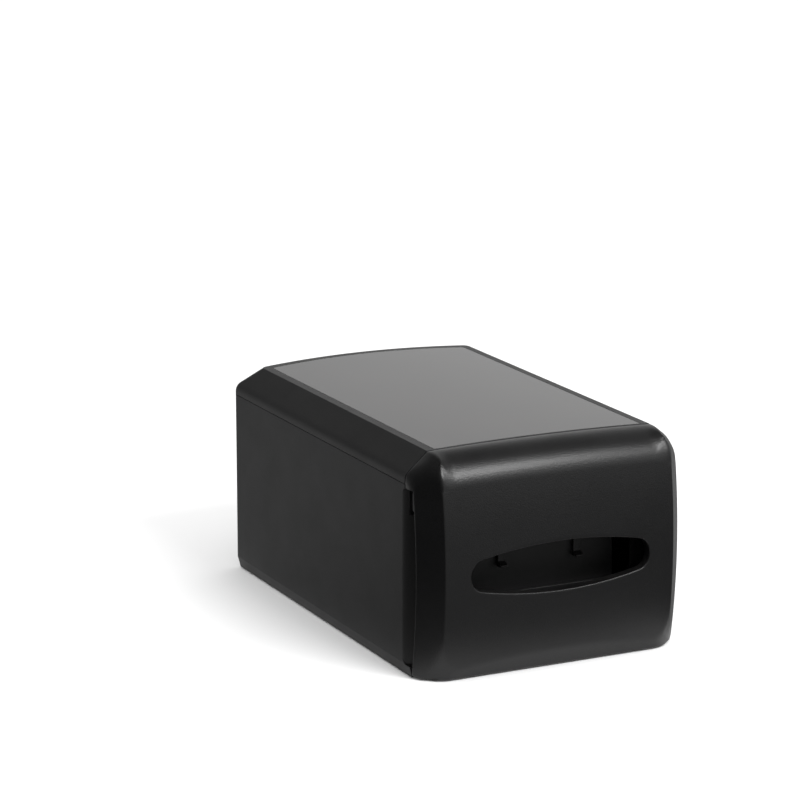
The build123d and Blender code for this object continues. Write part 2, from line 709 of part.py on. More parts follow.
with BuildPart() as pusher_plate:
    middle_z = (pusher_plate_low + pusher_plate_high) / 2
    tall = pusher_plate_high - pusher_plate_low
    with BuildSketch(Plane.XZ.offset(-carriage_front_y)):
        with Locations((0, middle_z)):
            RectangleRounded(2 * pusher_plate_half_width, tall, pusher_corner_radius)
    extrude(amount=pusher_plate_thickness)
    # rim turned back round the edge, open where the carriage stands
    with BuildSketch(Plane.XZ.offset(-carriage_front_y - pusher_rim_depth)):
        with Locations((0, middle_z)):
            RectangleRounded(2 * pusher_plate_half_width, tall, pusher_corner_radius)
            RectangleRounded(2 * pusher_plate_half_width - 2 * pusher_rim, tall - 2 * pusher_rim,
                             pusher_corner_radius - pusher_rim, mode=Mode.SUBTRACT)
        with Locations((0, pusher_plate_low)):
            Rectangle(2 * (carriage_half_width + 1), 4 * pusher_rim, mode=Mode.SUBTRACT)
    extrude(amount=pusher_rim_depth)
    for px in (-plate_screw_x, plate_screw_x):
        with Locations(Plane((px, pusher_y, plate_screw_z), x_dir=(1, 0, 0), z_dir=(0, -1, 0))):
            CounterSinkHole(screw_radius, screw_head_radius, depth=2 * pusher_plate_thickness,
                            counter_sink_angle=90)

with BuildPart() as pusher_screws:
    for px in (-plate_screw_x, plate_screw_x):
        with Locations(Plane((px, pusher_y, plate_screw_z), x_dir=(1, 0, 0), z_dir=(0, -1, 0))):
            add(flat_screw(screw_radius, screw_head_radius, screw_head_radius - screw_radius,
                           pusher_plate_thickness + upright_thickness + 2))

with BuildPart() as drum_pin:
    with BuildSketch(Plane.YZ.offset(-pin_end)):
        with Locations((drum_y, drum_z)):
            Circle(drum_pin_radius)
    extrude(amount=2 * pin_end + 2)
    with BuildSketch(Plane.YZ.offset(-pin_end)):
        with Locations((drum_y, drum_z)):
            Circle(drum_pin_radius + 1.5)
    extrude(amount=-1.5)

with BuildPart() as drum_clip:
    with BuildSketch(Plane.YZ.offset(pin_end + 0.2)):
        with Locations((drum_y, drum_z)):
            Circle(drum_pin_radius + 1.5)
            Circle(drum_pin_radius, mode=Mode.SUBTRACT)
            Rectangle(2 * drum_pin_radius - 1.4, 20, align=(Align.CENTER, Align.MIN), mode=Mode.SUBTRACT)
    extrude(amount=0.8)

with BuildPart() as spring_drum:
    with BuildSketch(Plane.YZ.offset(-coil_half_width - cheek_gap / 2)):
        with Locations((drum_y, drum_z)):
            Circle(drum_hub_radius)
            Circle(drum_pin_radius + running_gap, mode=Mode.SUBTRACT)
            with PolarLocations(drum_hub_radius - 2.4, 5):
                Circle(1.3, mode=Mode.SUBTRACT)
    extrude(amount=2 * coil_half_width + cheek_gap)

with BuildPart() as spring_coil:
    with BuildSketch(Plane.YZ.offset(-coil_half_width + 0.4)):
        with Locations((drum_y, drum_z)):
            Circle(coil_radius)
            Circle(drum_hub_radius, mode=Mode.SUBTRACT)
    extrude(amount=2 * coil_half_width - 0.8)


# ---------------------------------------------------------------------------
# top cover with its window
# ---------------------------------------------------------------------------
def window_outline(margin):
    """Plan of the window with a margin round it."""
    side = half_width - chamfer_run - rim_width + margin
    corner = back_corner_y - back_chamfer_run - rim_width + margin
    middle = back_y - back_chamfer_run - rim_width + margin
    return rounded_back(side, cover_front_y + front_bar - margin, corner, middle, window_corner_radius)


def crown_slab(thickness, front, back):
    """Slab under the crowned top surface, thick enough for a panel."""
    side = half_width - chamfer_run
    with BuildPart() as slab:
        with BuildSketch(Plane.XZ.offset(-back)):
            with BuildLine():
                Line((side, chamfer_top - thickness), (side, chamfer_top))
                ThreePointArc((side, chamfer_top), (0, overall_height), (-side, chamfer_top))
                Line((-side, chamfer_top), (-side, chamfer_top - thickness))
                ThreePointArc((-side, chamfer_top - thickness), (0, overall_height - thickness),
                              (side, chamfer_top - thickness))
            make_face()
        extrude(amount=back - front)
    return slab.part


def crown_cap():
    """Crowned cap that sits on the flat top inside the chamfers."""
    with BuildPart() as cap:
        add(crown_slab(crown_rise + 1, cover_front_y, back_y))
        with BuildSketch(Plane.XY.offset(chamfer_top)):
            add(top_outline(0, cover_front_y, corner_radius))
        extrude(amount=crown_rise + 1, mode=Mode.INTERSECT)
    return cap.part


cover_inner_top = chamfer_top - cover_wall
with BuildPart() as top_cover:
    with BuildSketch(Plane.XY.offset(cover_low)):
        add(shell_outline(0, cover_front_y, corner_radius))
    extrude(amount=chamfer_foot - cover_low)
    with BuildSketch(Plane.XY.offset(chamfer_foot)):
        add(shell_outline(0, cover_front_y, corner_radius))
    with BuildSketch(Plane.XY.offset(chamfer_top)):
        add(top_outline(0, cover_front_y, corner_radius))
    loft(ruled=True)
    add(crown_cap())
    # soft edges along the chamfers
    shoulders = [e for e in top_cover.edges() if abs(e.center().Z - chamfer_foot) < 0.1
                 and (abs(e.center().X) > half_width - 0.1 or e.center().Y > back_corner_y - 5)]
    fillet(shoulders, radius=cover_shoulder_radius)
    # hollow underneath
    with BuildSketch(Plane.XY.offset(cover_low)):
        add(shell_outline(cover_wall, cover_front_y + front_bar, corner_radius - cover_wall / 2))
    extrude(amount=chamfer_foot - cover_wall / 2 - cover_low, mode=Mode.SUBTRACT)
    with BuildSketch(Plane.XY.offset(chamfer_foot - cover_wall / 2)):
        add(shell_outline(cover_wall, cover_front_y + front_bar, corner_radius - cover_wall / 2))
    with BuildSketch(Plane.XY.offset(cover_inner_top)):
        add(top_outline(cover_wall / 2, cover_front_y + front_bar, corner_radius - cover_wall / 2))
    loft(ruled=True, mode=Mode.SUBTRACT)
    # window opening
    with BuildSketch(Plane.XY.offset(cover_inner_top - 1)):
        add(window_outline(window_gap))
    extrude(amount=20, mode=Mode.SUBTRACT)
    for side in (-1, 1):
        # striker leg and toe that the latch catches
        leg_out = tongue_in_x - striker_gap
        leg_in = leg_out - striker_thickness
        with BuildSketch(Plane.XZ.offset(-striker_front_y)):
            with BuildLine():
                Polyline((side * leg_out, striker_low), (side * leg_out, cover_low + 0.6),
                         (side * (half_width - 1), cover_low + 0.6), (side * (half_width - 1), cover_low + 3),
                         (side * leg_in, cover_low + 3), (side * leg_in, striker_low + catch_height),
                         (side * (leg_in - striker_toe), striker_low + catch_height),
                         (side * (leg_in - striker_toe), striker_low), close=True)
            make_face()
        extrude(amount=-striker_width)
        # screw seats under the rim
        for station in retainer_stations:
            with BuildSketch(Plane.XY.offset(cover_inner_top)):
                with Locations((side * retainer_screw_x, station)):
                    Circle(small_screw_radius)
            extrude(amount=retainer_screw_bite, mode=Mode.SUBTRACT)
        # clearance round the ears, then the knuckle
        with BuildSketch(Plane.YZ.offset(side * (ear_in - hinge_side_gap))):
            with Locations((hinge_y, hinge_z)):
                Circle(knuckle_radius + 0.5)
        extrude(amount=side * (ear_out + ear_thickness + 2 * hinge_side_gap - ear_in), mode=Mode.SUBTRACT)
        with BuildSketch(Plane.YZ.offset(side * (hinge_spacing - knuckle_half_length))):
            with BuildLine():
                Polyline((back_corner_y - 2, cover_low + 0.2), (hinge_y, cover_low + 0.2),
                         (hinge_y, hinge_z + knuckle_radius), (back_corner_y - 2, hinge_z + knuckle_radius + 1),
                         close=True)
            make_face()
            with Locations((hinge_y, hinge_z)):
                Circle(knuckle_radius)
        extrude(amount=side * 2 * knuckle_half_length)
        with BuildSketch(Plane.YZ.offset(side * (ear_in - hinge_side_gap))):
            with Locations((hinge_y, hinge_z)):
                Circle(hinge_pin_radius + running_gap)
        extrude(amount=side * (ear_out + ear_thickness + 2 * hinge_side_gap - ear_in), mode=Mode.SUBTRACT)

with BuildPart() as window_panel:
    add(crown_slab(window_thickness, cover_front_y - 1, back_y))
    with BuildSketch(Plane.XY.offset(cover_inner_top - 5)):
        add(window_outline(0))
    extrude(amount=30, mode=Mode.INTERSECT)

with BuildPart() as window_retainer:
    with BuildSketch(Plane.XY.offset(cover_inner_top - retainer_thickness)):
        add(window_outline(retainer_outer))
        add(window_outline(-retainer_lap), mode=Mode.SUBTRACT)
        with Locations((0, cover_front_y + front_bar + 0.2)):
            Rectangle(overall_width, 20, align=(Align.CENTER, Align.MAX), mode=Mode.SUBTRACT)
    extrude(amount=retainer_thickness)
    for side in (-1, 1):
        for station in retainer_stations:
            with BuildSketch(Plane.XY.offset(cover_inner_top - retainer_thickness)):
                with Locations((side * retainer_screw_x, station)):
                    Circle(small_screw_radius)
            extrude(amount=retainer_thickness, mode=Mode.SUBTRACT)

with BuildPart() as retainer_screws:
    for side in (-1, 1):
        for station in retainer_stations:
            with Locations(Plane((side * retainer_screw_x, station, cover_inner_top - retainer_thickness),
                                 x_dir=(1, 0, 0), z_dir=(0, 0, -1))):
                add(pan_screw(small_screw_radius, small_head_radius, small_head_height,
                              retainer_thickness + retainer_screw_bite - 0.2))

with BuildPart() as hinge_pins:
    for side in (-1, 1):
        with BuildSketch(Plane.YZ.offset(side * (ear_in - 0.5))):
            with Locations((hinge_y, hinge_z)):
                Circle(hinge_pin_radius)
        extrude(amount=side * (ear_out + ear_thickness + 1 - ear_in))


# ---------------------------------------------------------------------------
# latches: a sprung button in each finger groove with a catch for the striker
# ---------------------------------------------------------------------------
flange_out = tongue_in_x - latch_rest_gap - latch_travel
flange_in = flange_out - latch_flange
button_out = groove_floor_x + latch_button_proud
stalk_out = tongue_in_x - striker_gap - striker_thickness - striker_toe - latch_rest_gap - latch_travel
stalk_in = stalk_out - stalk_thickness


catch_low = striker_low + catch_height + catch_gap
catch_high = cover_low + 1.2
flange_front_y = latch_y - latch_button_width / 2 - latch_flange_rim
flange_low = latch_button_low - latch_flange_rim
flange_high = latch_button_high + 1.4
stalk_front_y = striker_front_y + 0.3
stalk_back_y = striker_front_y + striker_width - 0.3


def latch_plunger(side):
    """Button, flange, stalk and catch of one latch, in its released position."""
    half = latch_button_width / 2
    with BuildPart() as plunger:
        for x_low, x_high, y_low, y_high, z_low, z_high in (
                (flange_in, button_out, latch_y - half, latch_y + half, latch_button_low, latch_button_high),
                (flange_in, flange_out, flange_front_y, stalk_back_y, flange_low, flange_high),
                (stalk_in, flange_out, stalk_front_y, stalk_back_y, flange_high - 5, flange_high),
                (stalk_in, stalk_out, stalk_front_y, stalk_back_y, flange_high - 5, catch_high),
                (stalk_in, stalk_out + catch_reach, stalk_front_y, stalk_back_y, catch_low, catch_high)):
            with Locations((side * (x_low + x_high) / 2, (y_low + y_high) / 2, (z_low + z_high) / 2)):
                Box(x_high - x_low, y_high - y_low, z_high - z_low)
        outermost = plunger.faces().sort_by(Axis.X)[-1 if side > 0 else 0]
        fillet(outermost.edges(), radius=0.9)
    return plunger.part


def latch_spring(side):
    """Coil spring between its seat on the mouth plate and the back of one latch."""
    with BuildPart() as spring:
        with BuildSketch(Plane.YZ.offset(side * mouth_shoulder_half)):
            with Locations((spring_y, spring_z)):
                Circle(spring_outer_radius)
                Circle(spring_inner_radius, mode=Mode.SUBTRACT)
        extrude(amount=side * (flange_in - mouth_shoulder_half))
    return spring.part


with BuildPart() as latch_plunger_left:
    add(latch_plunger(-1))
with BuildPart() as latch_plunger_right:
    add(latch_plunger(1))
with BuildPart() as latch_spring_left:
    add(latch_spring(-1))
with BuildPart() as latch_spring_right:
    add(latch_spring(1))

# ---------------------------------------------------------------------------
# one file for each piece
# ---------------------------------------------------------------------------
os.makedirs("parts", exist_ok=True)
body_shell.part.label = "body_shell"
export_step(body_shell.part, "parts/body_shell.step")
front_bezel.part.label = "front_bezel"
export_step(front_bezel.part, "parts/front_bezel.step")
mouth_plate.part.label = "mouth_plate"
export_step(mouth_plate.part, "parts/mouth_plate.step")
retaining_fingers.part.label = "retaining_fingers"
export_step(retaining_fingers.part, "parts/retaining_fingers.step")
bezel_screws.part.label = "bezel_screws"
export_step(bezel_screws.part, "parts/bezel_screws.step")
feed_rail.part.label = "feed_rail"
export_step(feed_rail.part, "parts/feed_rail.step")
rail_screws.part.label = "rail_screws"
export_step(rail_screws.part, "parts/rail_screws.step")
rail_bumper.part.label = "rail_bumper"
export_step(rail_bumper.part, "parts/rail_bumper.step")
spring_strip.part.label = "spring_strip"
export_step(spring_strip.part, "parts/spring_strip.step")
strip_anchor_screw.part.label = "strip_anchor_screw"
export_step(strip_anchor_screw.part, "parts/strip_anchor_screw.step")
rubber_feet.part.label = "rubber_feet"
export_step(rubber_feet.part, "parts/rubber_feet.step")
hinge_pins.part.label = "hinge_pins"
export_step(hinge_pins.part, "parts/hinge_pins.step")
latch_spring_left.part.label = "latch_spring_left"
export_step(latch_spring_left.part, "parts/latch_spring_left.step")
latch_spring_right.part.label = "latch_spring_right"
export_step(latch_spring_right.part, "parts/latch_spring_right.step")
top_cover.part.label = "top_cover"
export_step(top_cover.part, "parts/top_cover.step")
window_panel.part.label = "window_panel"
export_step(window_panel.part, "parts/window_panel.step")
window_retainer.part.label = "window_retainer"
export_step(window_retainer.part, "parts/window_retainer.step")
retainer_screws.part.label = "retainer_screws"
export_step(retainer_screws.part, "parts/retainer_screws.step")
pusher_carriage.part.label = "pusher_carriage"
export_step(pusher_carriage.part, "parts/pusher_carriage.step")
pusher_plate.part.label = "pusher_plate"
export_step(pusher_plate.part, "parts/pusher_plate.step")
pusher_screws.part.label = "pusher_screws"
export_step(pusher_screws.part, "parts/pusher_screws.step")
drum_pin.part.label = "drum_pin"
export_step(drum_pin.part, "parts/drum_pin.step")
drum_clip.part.label = "drum_clip"
export_step(drum_clip.part, "parts/drum_clip.step")
spring_drum.part.label = "spring_drum"
export_step(spring_drum.part, "parts/spring_drum.step")
spring_coil.part.label = "spring_coil"
export_step(spring_coil.part, "parts/spring_coil.step")
latch_plunger_left.part.label = "latch_plunger_left"
export_step(latch_plunger_left.part, "parts/latch_plunger_left.step")
latch_plunger_right.part.label = "latch_plunger_right"
export_step(latch_plunger_right.part, "parts/latch_plunger_right.step")
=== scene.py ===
import json
import math

import bmesh
import bpy
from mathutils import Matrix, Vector


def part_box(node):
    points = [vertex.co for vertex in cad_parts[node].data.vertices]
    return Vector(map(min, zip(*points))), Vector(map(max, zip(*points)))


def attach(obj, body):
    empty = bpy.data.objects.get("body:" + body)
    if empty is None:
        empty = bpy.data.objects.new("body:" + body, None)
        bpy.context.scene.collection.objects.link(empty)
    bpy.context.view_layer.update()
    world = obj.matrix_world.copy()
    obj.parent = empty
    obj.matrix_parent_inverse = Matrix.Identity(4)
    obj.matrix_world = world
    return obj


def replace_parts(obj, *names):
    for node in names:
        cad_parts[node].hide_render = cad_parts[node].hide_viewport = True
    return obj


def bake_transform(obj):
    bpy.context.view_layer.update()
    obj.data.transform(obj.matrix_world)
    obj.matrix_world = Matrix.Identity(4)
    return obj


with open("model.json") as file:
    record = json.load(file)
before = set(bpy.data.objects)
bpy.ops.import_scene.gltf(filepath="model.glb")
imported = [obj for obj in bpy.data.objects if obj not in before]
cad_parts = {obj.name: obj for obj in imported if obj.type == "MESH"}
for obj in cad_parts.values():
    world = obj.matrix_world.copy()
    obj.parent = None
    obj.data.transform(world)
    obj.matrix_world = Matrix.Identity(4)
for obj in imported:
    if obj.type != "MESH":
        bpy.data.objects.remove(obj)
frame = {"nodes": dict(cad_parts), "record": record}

MM = 0.001
AXES = (Vector((1, 0, 0)), Vector((0, 1, 0)), Vector((0, 0, 1)))
ACROSS = AXES[0]
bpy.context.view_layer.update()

# ---------------------------------------------------------------------------
# colours (linear) and finishes shared by several materials
# ---------------------------------------------------------------------------
BLACK_PLASTIC = (0.0020, 0.0020, 0.0022, 1.0)
DEEP_BLACK = (0.0040, 0.0040, 0.0042, 1.0)
LATCH_BLACK = (0.030, 0.030, 0.031, 1.0)
RAIL_GREY = (0.06, 0.06, 0.063, 1.0)
RUBBER_BLACK = (0.010, 0.010, 0.010, 1.0)
SMOKE = (0.045, 0.043, 0.043, 1.0)
WARM_SMOKE = (0.060, 0.056, 0.054, 1.0)
NATURAL_NYLON = (0.52, 0.51, 0.46, 1.0)
ZINC = (0.52, 0.52, 0.50, 1.0)
BRIGHT_STEEL = (0.58, 0.58, 0.57, 1.0)
BLUED_STEEL = (0.26, 0.28, 0.33, 1.0)


# ---------------------------------------------------------------------------
# small tools for node trees
# ---------------------------------------------------------------------------
def new_group(name, inputs, outputs):
    """Empty shader group with float, vector or colour sockets: inputs are (name, kind, value)."""
    group = bpy.data.node_groups.new(name, "ShaderNodeTree")
    for label, kind, value in inputs:
        socket = group.interface.new_socket(label, in_out="INPUT", socket_type=kind)
        if value is not None:
            socket.default_value = value
    for label, kind in outputs:
        group.interface.new_socket(label, in_out="OUTPUT", socket_type=kind)
    return group, group.nodes.new("NodeGroupInput"), group.nodes.new("NodeGroupOutput")


def math_node(tree, operation, a, b=None, clamp=False):
    """Math node fed by sockets or plain numbers; returns its output."""
    node = tree.nodes.new("ShaderNodeMath")
    node.operation = operation
    node.use_clamp = clamp
    for slot, value in zip(node.inputs, (a, b)):
        if value is None:
            continue
        if isinstance(value, (int, float)):
            slot.default_value = value
        else:
            tree.links.new(value, slot)
    return node.outputs[0]


def noise(tree, coords, scale, detail=2.0, roughness=0.5):
    """Noise texture on the given coordinates; scale is a number or a socket."""
    node = tree.nodes.new("ShaderNodeTexNoise")
    node.inputs["Detail"].default_value = detail
    node.inputs["Roughness"].default_value = roughness
    tree.links.new(coords, node.inputs["Vector"])
    if isinstance(scale, (int, float)):
        node.inputs["Scale"].default_value = scale
    else:
        tree.links.new(scale, node.inputs["Scale"])
    return node.outputs["Fac"]


def ranged(tree, value, from_low, from_high, to_low, to_high):
    """Value carried from one range to another, clamped; the ends are numbers or sockets."""
    node = tree.nodes.new("ShaderNodeMapRange")
    for slot, end in zip(node.inputs[1:5], (from_low, from_high, to_low, to_high)):
        if isinstance(end, (int, float)):
            slot.default_value = end
        else:
            tree.links.new(end, slot)
    tree.links.new(value, node.inputs["Value"])
    return node.outputs["Result"]


def product(tree, *values):
    """Product of several sockets."""
    total = values[0]
    for value in values[1:]:
        total = math_node(tree, "MULTIPLY", total, value)
    return total


def place(tree, group, **values):
    """Puts a shader group in a tree and sets its inputs, spaces written as underscores."""
    node = tree.nodes.new("ShaderNodeGroup")
    node.node_tree = group
    for label, value in values.items():
        node.inputs[label.replace("_", " ")].default_value = value
    return node


# ---------------------------------------------------------------------------
# effects that several materials use
# ---------------------------------------------------------------------------
def moulded_grain_group():
    """Spark-eroded mould texture: fine pits, a height for bump and a roughness that follows it."""
    group, given, out = new_group(
        "moulded_grain",
        [("Scale", "NodeSocketFloat", 2600.0), ("Roughness", "NodeSocketFloat", 0.4),
         ("Variation", "NodeSocketFloat", 0.06)],
        [("Height", "NodeSocketFloat"), ("Roughness", "NodeSocketFloat")])
    coords = group.nodes.new("ShaderNodeTexCoord").outputs["Object"]
    pits = noise(group, coords, given.outputs["Scale"], detail=3.0, roughness=0.6)
    broad = noise(group, coords, 38.0, detail=4.0, roughness=0.6)
    height = math_node(group, "ADD", pits, math_node(group, "MULTIPLY", broad, 0.25))
    drift = math_node(group, "SUBTRACT", math_node(group, "ADD", pits, broad), 1.0)
    swing = math_node(group, "MULTIPLY", drift, given.outputs["Variation"])
    rough = math_node(group, "ADD", given.outputs["Roughness"], swing, clamp=True)
    group.links.new(height, out.inputs["Height"])
    group.links.new(rough, out.inputs["Roughness"])
    return group


def edge_wear_group():
    """Mask that is high along outer edges, broken up by noise, for rubbed corners."""
    group, given, out = new_group(
        "edge_wear",
        [("Radius", "NodeSocketFloat", 0.0008), ("Amount", "NodeSocketFloat", 0.5)],
        [("Mask", "NodeSocketFloat"), ("Normal", "NodeSocketVector")])
    rounded = group.nodes.new("ShaderNodeBevel")
    rounded.samples = 4
    group.links.new(given.outputs["Radius"], rounded.inputs["Radius"])
    geometry = group.nodes.new("ShaderNodeNewGeometry")
    facing = group.nodes.new("ShaderNodeVectorMath")
    facing.operation = "DOT_PRODUCT"
    group.links.new(rounded.outputs["Normal"], facing.inputs[0])
    group.links.new(geometry.outputs["Normal"], facing.inputs[1])
    turned = ranged(group, facing.outputs["Value"], 0.98, 0.80, 0.0, 1.0)
    coords = group.nodes.new("ShaderNodeTexCoord").outputs["Object"]
    broken = ranged(group, noise(group, coords, 420.0, detail=5.0, roughness=0.7), 0.42, 0.66, 0.0, 1.0)
    mask = math_node(group, "MULTIPLY", math_node(group, "MULTIPLY", turned, broken), given.outputs["Amount"])
    group.links.new(mask, out.inputs["Mask"])
    group.links.new(rounded.outputs["Normal"], out.inputs["Normal"])
    return group


def settled_dust_group():
    """Mask for a thin film of dust and paper lint that gathers on what faces up."""
    group, given, out = new_group(
        "settled_dust", [("Amount", "NodeSocketFloat", 0.1)], [("Mask", "NodeSocketFloat")])
    geometry = group.nodes.new("ShaderNodeNewGeometry")
    parts = group.nodes.new("ShaderNodeSeparateXYZ")
    group.links.new(geometry.outputs["Normal"], parts.inputs[0])
    upward = ranged(group, parts.outputs["Z"], 0.2, 1.0, 0.0, 1.0)
    coords = group.nodes.new("ShaderNodeTexCoord").outputs["Object"]
    film = ranged(group, noise(group, coords, 26.0, detail=6.0, roughness=0.65), 0.35, 0.75, 0.2, 1.0)
    specks = ranged(group, noise(group, coords, 1500.0, detail=2.0), 0.68, 0.78, 0.0, 1.0)
    cloud = math_node(group, "ADD", film, specks)
    mask = math_node(group, "MULTIPLY", math_node(group, "MULTIPLY", upward, cloud), given.outputs["Amount"])
    group.links.new(mask, out.inputs["Mask"])
    return group


GRAIN = moulded_grain_group()
WEAR = edge_wear_group()
DUST = settled_dust_group()
WORN_GREY = (0.055, 0.055, 0.057, 1.0)
LINT = (0.30, 0.29, 0.27, 1.0)


# ---------------------------------------------------------------------------
# materials
# ---------------------------------------------------------------------------
def blank(name):
    """New node material with its Principled shader."""
    material = bpy.data.materials.new(name)
    material.use_nodes = True
    return material, material.node_tree, material.node_tree.nodes["Principled BSDF"]


def blend_colour(tree, under, over, mask):
    """Colour that goes from under to over where the mask is high; each is a colour or a socket."""
    mix = tree.nodes.new("ShaderNodeMix")
    mix.data_type = "RGBA"
    for slot, colour in ((mix.inputs[6], under), (mix.inputs[7], over)):
        if isinstance(colour, tuple):
            slot.default_value = colour
        else:
            tree.links.new(colour, slot)
    tree.links.new(mask, mix.inputs[0])
    return mix.outputs[2]


def bumped(tree, height, strength, distance, normal=None):
    """Bump node; returns its normal."""
    node = tree.nodes.new("ShaderNodeBump")
    node.inputs["Strength"].default_value = strength
    node.inputs["Distance"].default_value = distance
    tree.links.new(height, node.inputs["Height"])
    if normal is not None:
        tree.links.new(normal, node.inputs["Normal"])
    return node.outputs["Normal"]


def moulded_plastic(name, colour, roughness, grain_scale, grain_depth, wear=0.35, dust=0.02,
                    edge_radius=0.7 * MM, specular=0.5):
    """Injection-moulded plastic with a fine grain, rubbed edges and a trace of dust."""
    material, tree, shader = blank(name)
    grain = place(tree, GRAIN, Scale=grain_scale, Roughness=roughness, Variation=0.10)
    edges = place(tree, WEAR, Radius=edge_radius, Amount=wear)
    dusty = place(tree, DUST, Amount=dust)
    worn = blend_colour(tree, colour, WORN_GREY, edges.outputs["Mask"])
    tree.links.new(blend_colour(tree, worn, LINT, dusty.outputs["Mask"]), shader.inputs["Base Color"])
    tree.links.new(grain.outputs["Roughness"], shader.inputs["Roughness"])
    normal = bumped(tree, grain.outputs["Height"], 0.5, grain_depth, edges.outputs["Normal"])
    tree.links.new(normal, shader.inputs["Normal"])
    shader.inputs["Specular IOR Level"].default_value = specular
    return material


def smoked_acrylic(name):
    """Polished smoke-tinted acrylic with faint moulding waves and wiping marks."""
    material, tree, shader = blank(name)
    coords = tree.nodes.new("ShaderNodeTexCoord").outputs["Object"]
    haze = noise(tree, coords, 14.0, detail=5.0, roughness=0.6)
    tree.links.new(ranged(tree, haze, 0.3, 0.7, 0.05, 0.11), shader.inputs["Roughness"])
    tint = ranged(tree, haze, 0.3, 0.7, 0.0, 1.0)
    tree.links.new(blend_colour(tree, SMOKE, WARM_SMOKE, tint), shader.inputs["Base Color"])
    waves = noise(tree, coords, 55.0, detail=2.0)
    tree.links.new(bumped(tree, waves, 0.15, 0.05 * MM), shader.inputs["Normal"])
    shader.inputs["IOR"].default_value = 1.49
    shader.inputs["Transmission Weight"].default_value = 0.6
    return material


def plated_metal(name, colour, roughness, streak_scale):
    """Metal with fine drawn streaks and slight tarnish."""
    material, tree, shader = blank(name)
    coords = tree.nodes.new("ShaderNodeTexCoord").outputs["Object"]
    stretch = tree.nodes.new("ShaderNodeMapping")
    stretch.inputs["Scale"].default_value = (1.0, 0.08, 1.0)
    tree.links.new(coords, stretch.inputs["Vector"])
    streaks = noise(tree, stretch.outputs["Vector"], streak_scale, detail=4.0)
    tarnish = ranged(tree, noise(tree, coords, 220.0, detail=5.0), 0.45, 0.75, 0.0, 0.45)
    edges = place(tree, WEAR, Radius=0.25 * MM, Amount=0.3)
    dark = tuple(c * 0.45 for c in colour[:3]) + (1.0,)
    tree.links.new(blend_colour(tree, colour, dark, tarnish), shader.inputs["Base Color"])
    gloss = ranged(tree, streaks, 0.3, 0.7, roughness - 0.08, roughness + 0.12)
    tree.links.new(gloss, shader.inputs["Roughness"])
    tree.links.new(bumped(tree, streaks, 0.3, 0.03 * MM, edges.outputs["Normal"]), shader.inputs["Normal"])
    shader.inputs["Metallic"].default_value = 1.0
    return material


def moulded_rubber(name):
    """Matt black rubber, slightly blotched, with a soft grain."""
    material, tree, shader = blank(name)
    grain = place(tree, GRAIN, Scale=1800.0, Roughness=0.78, Variation=0.12)
    dusty = place(tree, DUST, Amount=0.05)
    tree.links.new(blend_colour(tree, RUBBER_BLACK, LINT, dusty.outputs["Mask"]), shader.inputs["Base Color"])
    tree.links.new(grain.outputs["Roughness"], shader.inputs["Roughness"])
    tree.links.new(bumped(tree, grain.outputs["Height"], 0.6, 0.08 * MM), shader.inputs["Normal"])
    return material


SLOT_MATERIALS = {
    "shell_plastic": moulded_plastic("shell_plastic_look", BLACK_PLASTIC, 0.50, 1400.0, 0.14 * MM),
    "bezel_plastic": moulded_plastic("bezel_plastic_look", BLACK_PLASTIC, 0.34, 1300.0, 0.30 * MM,
                                     edge_radius=0.6 * MM),
    "cover_plastic": moulded_plastic("cover_plastic_look", BLACK_PLASTIC, 0.46, 1400.0, 0.14 * MM),
    "window_smoke": smoked_acrylic("window_smoke_look"),
    "inner_plastic": moulded_plastic("inner_plastic_look", DEEP_BLACK, 0.52, 1900.0, 0.05 * MM),
    "finger_plastic": moulded_plastic("finger_plastic_look", BLACK_PLASTIC, 0.42, 1900.0, 0.04 * MM),
    "pusher_plastic": moulded_plastic("pusher_plastic_look", DEEP_BLACK, 0.50, 1900.0, 0.05 * MM),
    "rail_plastic": moulded_plastic("rail_plastic_look", RAIL_GREY, 0.34, 1500.0, 0.03 * MM),
    "drum_plastic": moulded_plastic("drum_plastic_look", NATURAL_NYLON, 0.38, 1300.0, 0.03 * MM, wear=0.1),
    "latch_plastic": moulded_plastic("latch_plastic_look", LATCH_BLACK, 0.32, 2000.0, 0.04 * MM),
    "spring_steel": plated_metal("spring_steel_look", BLUED_STEEL, 0.26, 900.0),
    "screw_steel": plated_metal("screw_steel_look", ZINC, 0.34, 1400.0),
    "pin_steel": plated_metal("pin_steel_look", BRIGHT_STEEL, 0.20, 1800.0),
    "foot_rubber": moulded_rubber("foot_rubber_look"),
    "bumper_rubber": moulded_rubber("bumper_rubber_look"),
}


def join_rings(form, here, after):
    """Faces between two neighbouring rings of vertices."""
    for j in range(len(here)):
        beside = (j + 1) % len(here)
        form.faces.new((here[j], after[j], after[beside], here[beside]))


def skin_rings(form, rings):
    """Closed skin over rows of rings, with a face at each end."""
    for here, after in zip(rings, rings[1:]):
        join_rings(form, here, after)
    form.faces.new(rings[0][::-1])
    form.faces.new(rings[-1])


def finished(form, name, body, slot, sharp=30.0):
    """Turns mesh work into a piece with its finish; it rides on its body when one is given."""
    bmesh.ops.recalc_face_normals(form, faces=form.faces)
    mesh = bpy.data.meshes.new(name)
    form.to_mesh(mesh)
    form.free()
    mesh.shade_smooth()
    mesh.set_sharp_from_angle(angle=math.radians(sharp))
    piece = bpy.data.objects.new(name, mesh)
    bpy.context.collection.objects.link(piece)
    mesh.materials.append(SLOT_MATERIALS[slot])
    if body:
        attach(piece, body)
    return piece


CAD_SHARP = 24.0


def dress_cad_nodes():
    """Gives every carried-over CAD node its material and smooth shading up to its real edges."""
    slots = {entry["node"]: entry["material_slot"] for entry in frame["record"]["subparts"]}
    for name, node in frame["nodes"].items():
        node.data.materials.clear()
        node.data.materials.append(SLOT_MATERIALS[slots[name]])
        node.data.shade_smooth()
        node.data.set_sharp_from_angle(angle=math.radians(CAD_SHARP))


dress_cad_nodes()


